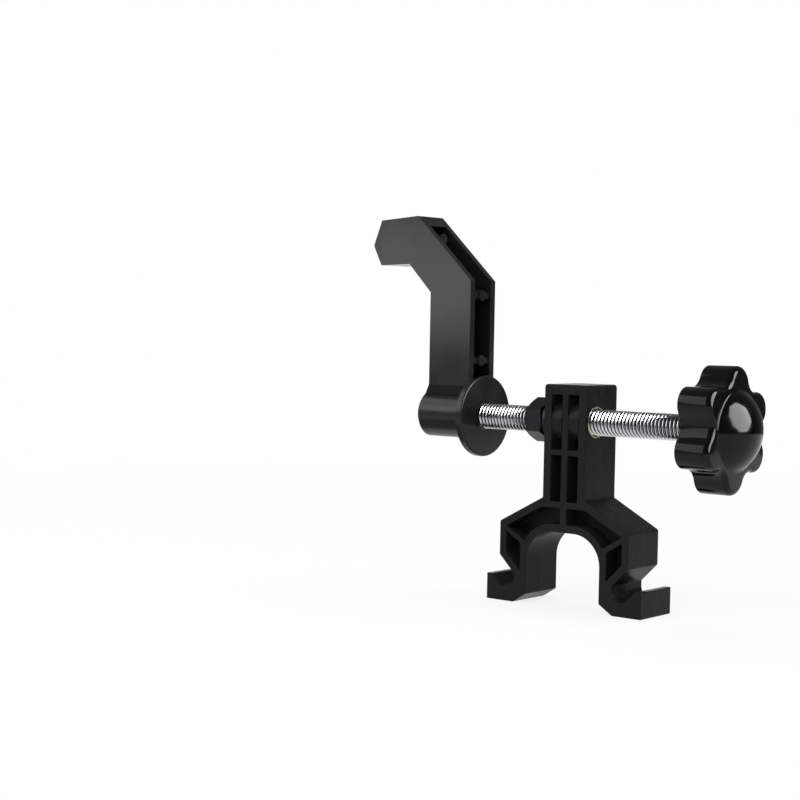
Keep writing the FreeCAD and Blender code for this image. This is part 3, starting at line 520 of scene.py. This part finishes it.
class GAUGE_OT_screw(bpy.types.Operator):
    """Bright zinc-plated M8 screw with its rolled thread and plain journal"""

    bl_idname = "gauge.screw"
    bl_label = "Screw"

    def execute(self, context):
        sizes = context.scene.gauge_screw
        bright = context.scene.gauge_finishes.zinc
        zinc = plated_steel("bright_zinc_plate", bright, "b4b7bc", 0.16, 0.28)
        # The thread's roots get painted shade in 242425, darker towards the screw's axis.
        thread = plated_steel("bright_zinc_thread", bright, "c6c8cb", 0.17, 0.28, groove="242425")
        rod = thread_rod("screw_thread", sizes)
        dress(rod, "screw", "zinc_steel", thread, "screw")
        end, groove_left, groove_right, shoulder = -0.0526, -0.0513, -0.0505, -0.0364
        plain, groove, chamfer = 0.0030, 0.0024, 0.0006
        x, r = profile((end, 0.0), (end, plain - chamfer), (end + chamfer, plain), (groove_left, plain),
                       (groove_left, groove), (groove_right, groove), (groove_right, plain),
                       (shoulder, plain), (shoulder, 0.0))
        journal = turned("screw_journal", x, r, around=64)
        dress(journal, "screw", "zinc_steel", zinc)
        coat("retaining_ring", plated_steel("phosphated_spring_steel", "4a4b4e", "333437", 0.35, 0.5))
        coat("thrust_washer", plated_steel("ground_steel_washer", "a9abae", "8b8d91", 0.25, 0.4))
        return {"FINISHED"}


class GAUGE_OT_knob(bpy.types.Operator):
    """Six-lobed hand knob in polished black phenolic"""

    bl_idname = "gauge.knob"
    bl_label = "Hand knob"

    def execute(self, context):
        obj = star_knob("star_knob", context.scene.gauge_knob)
        phenolic = polished_phenolic("polished_black_phenolic", context.scene.gauge_finishes.phenolic)
        dress(obj, "screw", "knob_plastic", phenolic, "knob")
        coat("knob_insert", turned_metal("turned_brass_bush", "cdb27c", "a88c58"))
        return {"FINISHED"}


class GAUGE_OT_fastenings(bpy.types.Operator):
    """Threaded insert, lock nut and lock washer at the bracket's column"""

    bl_idname = "gauge.fastenings"
    bl_label = "Insert, nut and washer"

    def execute(self, context):
        half, outer, lead, flare, edge = COLUMN_HALF, 0.0048, 0.0007, 0.00035, 0.0001
        x, r = profile((half - lead, BORE), (half, BORE + flare), (half, outer - edge), (half - edge, outer),
                       (0.0, outer), (edge - half, outer), (-half, outer - edge), (-half, BORE + flare),
                       (lead - half, BORE))
        insert = ring("threaded_insert_turned", x, r)
        brass = turned_metal("turned_brass", "d6cbae", "aa9d7c")
        dress(insert, "bracket", "insert_brass", brass, "threaded_insert")
        black = plated_steel("black_zinc_plate", "3a3b3d", "242527", 0.3, 0.42)
        dress(hexagon_nut("lock_nut_turned"), "lock_nut", "black_steel", black, "lock_nut")
        left, right, hole, rim, edge = WASHER_LEFT, -COLUMN_HALF, 0.0043, 0.0060, 0.0002
        x, r = profile((right, hole), (right, rim - edge), (right - edge, rim), (left + edge, rim),
                       (left, rim - edge), (left, hole))
        washer = ring("lock_washer_turned", x, r)
        dress(washer, "lock_washer", "black_steel", black, "lock_washer")
        return {"FINISHED"}


def ring(name, x, radius, around=96):
    """Closed ring about the screw's axis: the profile's last row joins its first. Where the signed volume
    comes out negative, the faces are turned to look outward."""
    x = np.asarray(x, float)
    radius = np.asarray(radius, float)
    if radius.ndim == 1:
        radius = np.repeat(radius[:, None], around, axis=1)
    angle = np.arange(around) * (2 * math.pi / around)
    rows = len(x)
    along = np.repeat(x[:, None], around, axis=1)
    grid = np.stack([along, AXIS_Y + radius * np.cos(angle), AXIS_Z + radius * np.sin(angle)], axis=2)
    i, j = np.meshgrid(np.arange(rows), np.arange(around), indexing="ij")
    a = (i * around + j).ravel()
    b = (i * around + (j + 1) % around).ravel()
    c = (((i + 1) % rows) * around + (j + 1) % around).ravel()
    d = (((i + 1) % rows) * around + j).ravel()
    vertices = grid.reshape(-1, 3)
    faces = np.stack([a, d, c, b], axis=1)
    p = vertices[faces] - vertices.mean(axis=0)
    volume = np.einsum("ij,ij->i", p[:, 0], np.cross(p[:, 1], p[:, 2])).sum() + np.einsum(
        "ij,ij->i", p[:, 0], np.cross(p[:, 2], p[:, 3])).sum()
    if volume < 0:
        faces = faces[:, ::-1]
    return mesh_object(name, vertices, faces.tolist())


def hexagon_nut(name, around=180):
    """Hexagon nut with a corner pointing down.
    The outer radius at (x, t) is the smaller of the hexagon, half the flats over the cosine of the angle
    from the middle of its flat, and a cone that opens from each face to margin past the corners, so the
    chamfer draws its curve on every flat."""
    left, right, half_flats, corner = NUT_LEFT, WASHER_LEFT, 0.0060, 0.00693
    face, depth, margin, mouth, lead = 0.0053, 0.0013, 0.001, 0.0046, 0.0005
    angle = np.arange(around) * (2 * math.pi / around)
    hexagon = half_flats / np.cos((angle + math.pi / 6) % (math.pi / 3) - math.pi / 6)
    step = np.linspace(0, depth, 12)
    cone = face + (corner + margin - face) / depth * step
    x = np.concatenate([left + step, right - step[::-1]])
    outside = np.minimum(hexagon[None, :], np.concatenate([cone, cone[::-1]])[:, None])
    bore_x = np.array([right, right - lead, left + lead, left])
    bore = np.repeat(np.array([mouth, BORE, BORE, mouth])[:, None], around, axis=1)
    return ring(name, np.concatenate([x, bore_x]), np.concatenate([outside, bore]), around)


class GAUGE_OT_studio(bpy.types.Operator):
    """Pale floor, white surroundings, soft lamps, cards that only reflections see, and the camera"""

    bl_idname = "gauge.studio"
    bl_label = "Studio"

    def execute(self, context):
        make_floor()
        make_world(context.scene)
        make_drape()
        make_flag()
        card("side_softbox",
             [(-0.110, -0.480, 0.060), (-0.199, -0.450, 0.057),
              (-0.360, -0.326, 0.265), (-0.430, -0.270, 0.340)],
             [(-0.110, -0.300, 0.395), (-0.199, -0.266, 0.389),
              (-0.360, -0.064, 0.422), (-0.430, 0.000, 0.440)],
             strength=2.3)
        top = 0.230
        card("back_sheet",
             [(-0.600, 0.250, FLOOR_Z), (-0.420, 0.460, FLOOR_Z), (-0.200, 0.590, FLOOR_Z)],
             [(-0.600, 0.250, top), (-0.420, 0.460, top), (-0.200, 0.590, top)],
             strength=1.2)
        bottom, top = 0.0575, 0.106
        card("arm_reflector",
             [(-0.098, -0.120, bottom), (-0.160, -0.070, bottom)],
             [(-0.098, -0.120, top), (-0.160, -0.070, top)],
             strength=3.1)
        low = FLOOR_Z + 0.001
        card("hub_mat",
             [(-0.220, -0.060, low), (-0.100, -0.160, low)],
             [(-0.160, 0.010, low), (-0.045, -0.030, low)],
             strength=0.25)
        octabox("front_octabox", centre=Vector((0.460, 0.099, 0.227)), target=Vector((0.060, -0.009, 0.038)),
                radius=0.246, strength=14.0)
        lamp("key_lamp", (0.20, -0.70, 0.65), size=0.6, watts=3.2)
        lamp("fill_lamp", (-0.60, -0.75, 0.65), size=0.8, watts=3.2)
        lamp("top_lamp", (-0.05, 0.25, 1.0), size=0.7, watts=3.6)
        make_camera(context.scene)
        return {"FINISHED"}


def bare_white(tree):
    """Factor that is one for camera, glossy and transmission rays, and none for the rays of diffuse light."""
    path = add(tree, "ShaderNodeLightPath")
    seen = add(tree, "ShaderNodeMath", {"operation": "MAXIMUM"},
               {0: (path, "Is Camera Ray"), 1: (path, "Is Glossy Ray")})
    return add(tree, "ShaderNodeMath", {"operation": "MAXIMUM"},
               {0: (seen, 0), 1: (path, "Is Transmission Ray")})


def make_floor():
    """White floor seen as plain white, a little less near the object so that its shade shows."""
    half, z = 6.0, FLOOR_Z - 0.00002
    near, far, near_share, tooth_mm = 0.12, 0.55, 0.82, 1.5
    corners = [(-half, -half, z), (half, -half, z), (half, half, z), (-half, half, z)]
    floor = mesh_object("studio_floor", corners, [(0, 1, 2, 3)])
    material, tree, place = new_material("matt_white_sweep")
    white = bare_white(tree)
    reach = add(tree, "ShaderNodeVectorMath", {"operation": "LENGTH"}, {0: (place, "Object")})
    share = add(tree, "ShaderNodeMapRange",
                {"From Min": near, "From Max": far, "To Min": near_share, "To Max": 1.0},
                {"Value": (reach, "Value")})
    part = add(tree, "ShaderNodeMath", {"operation": "MULTIPLY"}, {0: (white, 0), 1: (share, 0)})
    tooth = add(tree, "ShaderNodeTexNoise", {"Scale": per_mm(tooth_mm), "Detail": 3.0},
                {"Vector": (place, "Object")})
    bump = add(tree, "ShaderNodeBump", {"Strength": 0.1, "Distance": 0.0001}, {"Height": (tooth, 0)})
    lit = add(tree, "ShaderNodeBsdfDiffuse", {"Color": linear("fafafa")}, {"Normal": (bump, 0)})
    glow = add(tree, "ShaderNodeEmission", {"Color": (1, 1, 1, 1), "Strength": 1.0})
    close_material(tree, add(tree, "ShaderNodeMixShader", links={0: (part, 0), 1: (lit, 0), 2: (glow, 0)}))
    floor.data.materials.append(material)


def make_world(scene):
    """White to the camera, reflections and transmission, and a soft grey fill to everything else."""
    world = bpy.data.worlds.new("studio_surroundings")
    world.use_nodes = True
    tree = world.node_tree
    tree.nodes.clear()
    white = add(tree, "ShaderNodeBackground", {"Color": (1, 1, 1, 1), "Strength": 1.0})
    fill = add(tree, "ShaderNodeBackground", {"Color": (1, 1, 1, 1), "Strength": 0.45})
    mix = add(tree, "ShaderNodeMixShader", links={0: (bare_white(tree), 0), 1: (fill, 0), 2: (white, 0)})
    add(tree, "ShaderNodeOutputWorld", links={"Surface": (mix, 0)})
    scene.world = world


def glow_stage(obj, low, high):
    """Make a stage piece glow in reflections only, from low at the set's left to high at its right."""
    left, right = -0.4, 0.5
    material, tree, place = new_material(obj.name + "_glow")
    parts = add(tree, "ShaderNodeSeparateXYZ", links={"Vector": (place, "Object")})
    level = add(tree, "ShaderNodeMapRange",
                {"From Min": left, "From Max": right, "To Min": low, "To Max": high},
                {"Value": (parts, "X")})
    close_material(tree, add(tree, "ShaderNodeEmission", {"Color": (1, 1, 1, 1)}, {"Strength": (level, 0)}))
    obj.data.materials.append(material)
    obj.visible_camera = False
    obj.visible_diffuse = False
    obj.visible_transmission = False
    obj.visible_shadow = False


def make_drape():
    """Grey studio drape round the set, lighter at the left and seen only in reflections: the part of a ball
    that is above the floor. Point (i, j) is R cos e_i cos a_j, R cos e_i sin a_j, R sin e_i, with e from the
    floor to the top."""
    around, rows, size = 64, 16, 0.65
    a = np.arange(around) * (2 * math.pi / around)
    e = np.linspace(math.asin(FLOOR_Z / size), math.radians(89.0), rows)
    grid = np.stack([size * np.cos(e)[:, None] * np.cos(a), size * np.cos(e)[:, None] * np.sin(a),
                     np.repeat(size * np.sin(e)[:, None], around, axis=1)], axis=2)
    i, j = np.meshgrid(np.arange(rows - 1), np.arange(around), indexing="ij")
    p = (i * around + j).ravel()
    q = (i * around + (j + 1) % around).ravel()
    faces = np.stack([p, p + around, q + around, q], axis=1).tolist()
    glow_stage(mesh_object("studio_drape", grid.reshape(-1, 3), faces), 0.28, 0.07)


def make_flag():
    """Low grey flag across the front left, which hides the far white floor from what the mouldings mirror.
    Point j is R cos a_j, R sin a_j on the floor and again at the flag's height."""
    count, size, height = 24, 0.42, 0.055
    a = np.radians(np.linspace(-172.0, -78.0, count))
    foot = np.stack([size * np.cos(a), size * np.sin(a), np.full(count, FLOOR_Z)], axis=1)
    head = foot + [0.0, 0.0, height - FLOOR_Z]
    j = np.arange(count - 1)
    faces = np.stack([j, j + 1, j + 1 + count, j + count], axis=1).tolist()
    glow_stage(mesh_object("studio_flag", np.concatenate([foot, head]), faces), 0.50, 0.50)


def card(name, low, high, strength):
    """Card that only reflections see: a strip of flat panels between its lower corners and its upper ones."""
    count = len(low)
    faces = [(k, k + 1, k + 1 + count, k + count) for k in range(count - 1)]
    glow_stage(mesh_object(name, low + high, faces), strength, strength)


def octabox(name, centre, target, radius, strength):
    """Eight-sided softbox: corner k lies at the radius from the centre, an eighth of a turn from the last."""
    ahead = (target - centre).normalized()
    side = ahead.cross(Vector((0.0, 0.0, 1.0))).normalized()
    up = side.cross(ahead)
    corners = [centre + radius * (math.cos(k * math.pi / 4 + math.pi / 8) * side
                                  + math.sin(k * math.pi / 4 + math.pi / 8) * up) for k in range(8)]
    glow_stage(mesh_object(name, corners, [tuple(range(8))]), strength, strength)


def lamp(name, place, size, watts):
    """Round soft lamp aimed at the object's middle; the cards stand for it in reflections."""
    middle = Vector((0.0, 0.0, 0.03))
    light = bpy.data.lights.new(name, "AREA")
    light.shape = "DISK"
    light.size = size
    light.energy = watts
    obj = bpy.data.objects.new(name, light)
    obj.visible_glossy = False
    obj.location = place
    obj.rotation_mode = "QUATERNION"
    obj.rotation_quaternion = (middle - Vector(place)).to_track_quat("-Z", "Y")
    bpy.context.scene.collection.objects.link(obj)


def make_camera(scene):
    """Camera 40 degrees round to the right and 2.5 degrees up, with a long lens."""
    eye, sensor_mm, lens_mm = (0.29181, -0.43537, 0.06273), 36.0, 76.1
    data = bpy.data.cameras.new("studio_camera")
    data.sensor_width = sensor_mm
    data.lens = lens_mm
    data.clip_start = 0.01
    data.clip_end = 50.0
    camera = bpy.data.objects.new("studio_camera", data)
    right = Vector((0.7660, 0.6425, 0.0181)).normalized()
    back = Vector((0.6414, -0.7659, 0.0445)).normalized()
    up = back.cross(right).normalized()
    right = up.cross(back).normalized()
    turn = Matrix((right, up, back)).transposed().to_4x4()
    camera.matrix_world = Matrix.Translation(eye) @ turn
    scene.collection.objects.link(camera)
    scene.camera = camera
    scene.view_settings.view_transform = "Standard"


class GAUGE_PT_panel(bpy.types.Panel):
    """Sizes, finishes and steps of the truing gauge"""

    bl_label = "Truing gauge"
    bl_idname = "GAUGE_PT_panel"
    bl_space_type = "VIEW_3D"
    bl_region_type = "UI"
    bl_category = "Truing gauge"

    def draw(self, context):
        for group in ("gauge_screw", "gauge_knob", "gauge_finishes"):
            box = self.layout.box()
            settings = getattr(context.scene, group)
            for name in settings.__annotations__:
                box.prop(settings, name)
        for step in STEPS:
            self.layout.operator(step.bl_idname)


STEPS = (GAUGE_OT_bracket, GAUGE_OT_arm, GAUGE_OT_screw, GAUGE_OT_knob, GAUGE_OT_fastenings, GAUGE_OT_studio)
CLASSES = (ScrewSizes, KnobSizes, Finishes, *STEPS, GAUGE_PT_panel)


def register():
    for item in CLASSES:
        bpy.utils.register_class(item)
    bpy.types.Scene.gauge_screw = bpy.props.PointerProperty(type=ScrewSizes)
    bpy.types.Scene.gauge_knob = bpy.props.PointerProperty(type=KnobSizes)
    bpy.types.Scene.gauge_finishes = bpy.props.PointerProperty(type=Finishes)


def unregister():
    del bpy.types.Scene.gauge_finishes
    del bpy.types.Scene.gauge_knob
    del bpy.types.Scene.gauge_screw
    for item in reversed(CLASSES):
        bpy.utils.unregister_class(item)


def main():
    """Make every piece in order."""
    register()
    bpy.ops.gauge.bracket()
    bpy.ops.gauge.arm()
    bpy.ops.gauge.screw()
    bpy.ops.gauge.knob()
    bpy.ops.gauge.fastenings()
    bpy.ops.gauge.studio()


if __name__ == "__main__":
    main()
